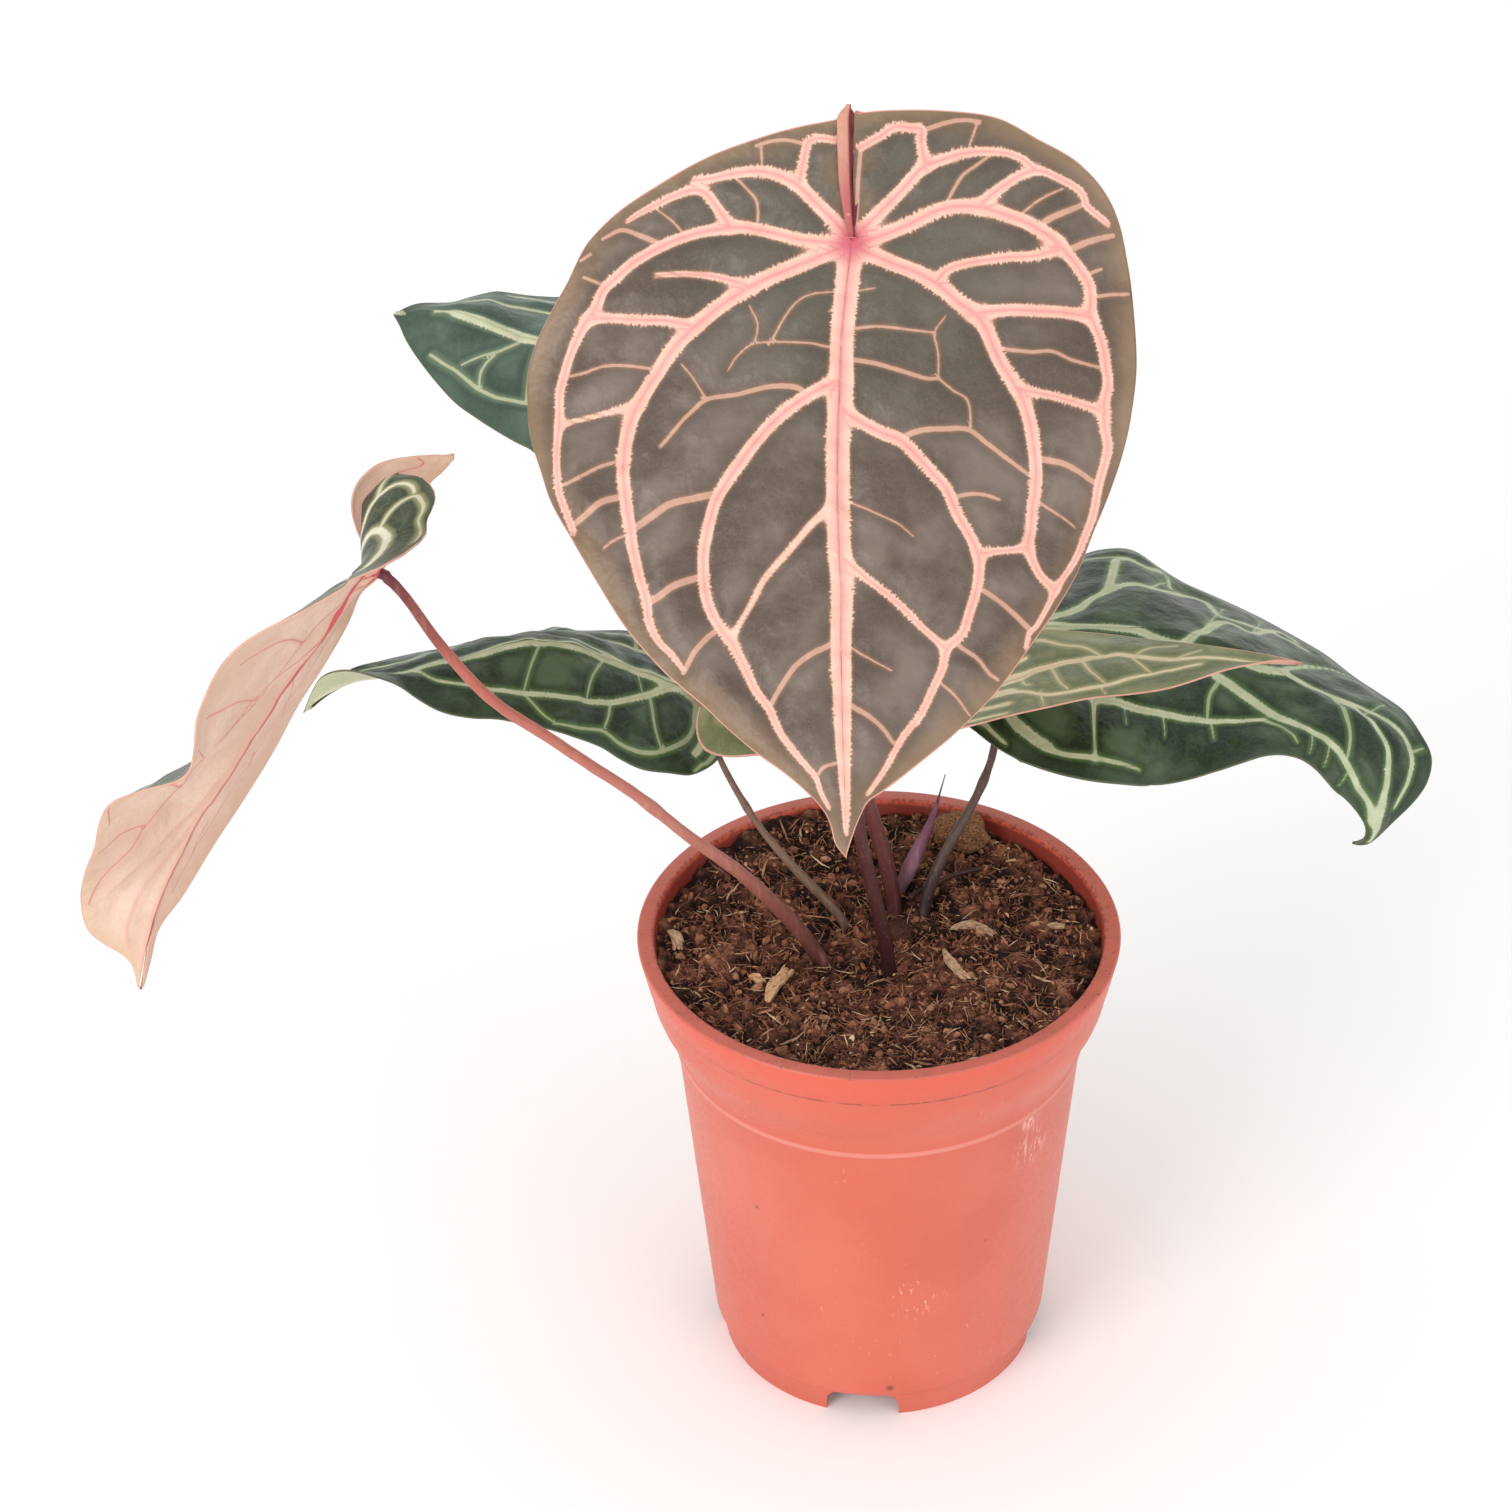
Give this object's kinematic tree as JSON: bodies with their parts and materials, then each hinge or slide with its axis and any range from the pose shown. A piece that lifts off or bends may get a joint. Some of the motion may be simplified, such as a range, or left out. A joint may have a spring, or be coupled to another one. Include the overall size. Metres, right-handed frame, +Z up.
{
  "type": "potted anthurium hybrid",
  "caption": "Foliage anthurium with large heart-shaped, pale-veined leaves on slender petioles, standing in a round terracotta-coloured plastic pot of coir compost.",
  "frame": {"origin": "middle of the whole plant's footprint, on the surface that the pot's foot ring stands on", "axes": "+Z up; +X to the viewer's right and +Y away from the viewer, with the large front leaf hanging towards -Y"},
  "size_m": [0.3215, 0.2126, 0.3389],
  "materials": {
    "pot": "satin",
    "compost": "matte",
    "crown": "matte",
    "dark_leaf": "satin",
    "olive_leaf": "satin",
    "blue_green_leaf": "satin",
    "pale_leaf": "satin",
    "light_green_leaf": "satin",
    "petiole": "satin",
    "spike": "satin",
    "dry_root": "matte",
    "bark": "matte",
    "chip": "matte"
  },
  "bodies": {
    "root": {"pot": "pot", "soil": "compost", "crown": "crown", "petiole_front": "petiole", "petiole_drooping_left": "petiole", "petiole_mid_left": "petiole", "petiole_back_left": "petiole", "petiole_big_right": "petiole", "petiole_young_right": "petiole", "leaf_front": "olive_leaf", "leaf_drooping_left": "pale_leaf", "leaf_mid_left": "dark_leaf", "leaf_back_left": "blue_green_leaf", "leaf_big_right": "dark_leaf", "leaf_young_right": "light_green_leaf", "new_leaf_spike": "spike", "dry_root": "dry_root", "bark_lump": "bark", "chip_front_left": "chip", "chip_left_edge": "chip", "chip_left_small": "chip", "chip_right_curl": "chip", "chip_right_arc": "chip", "chip_right_edge": "chip"}
  },
  "joints": []
}
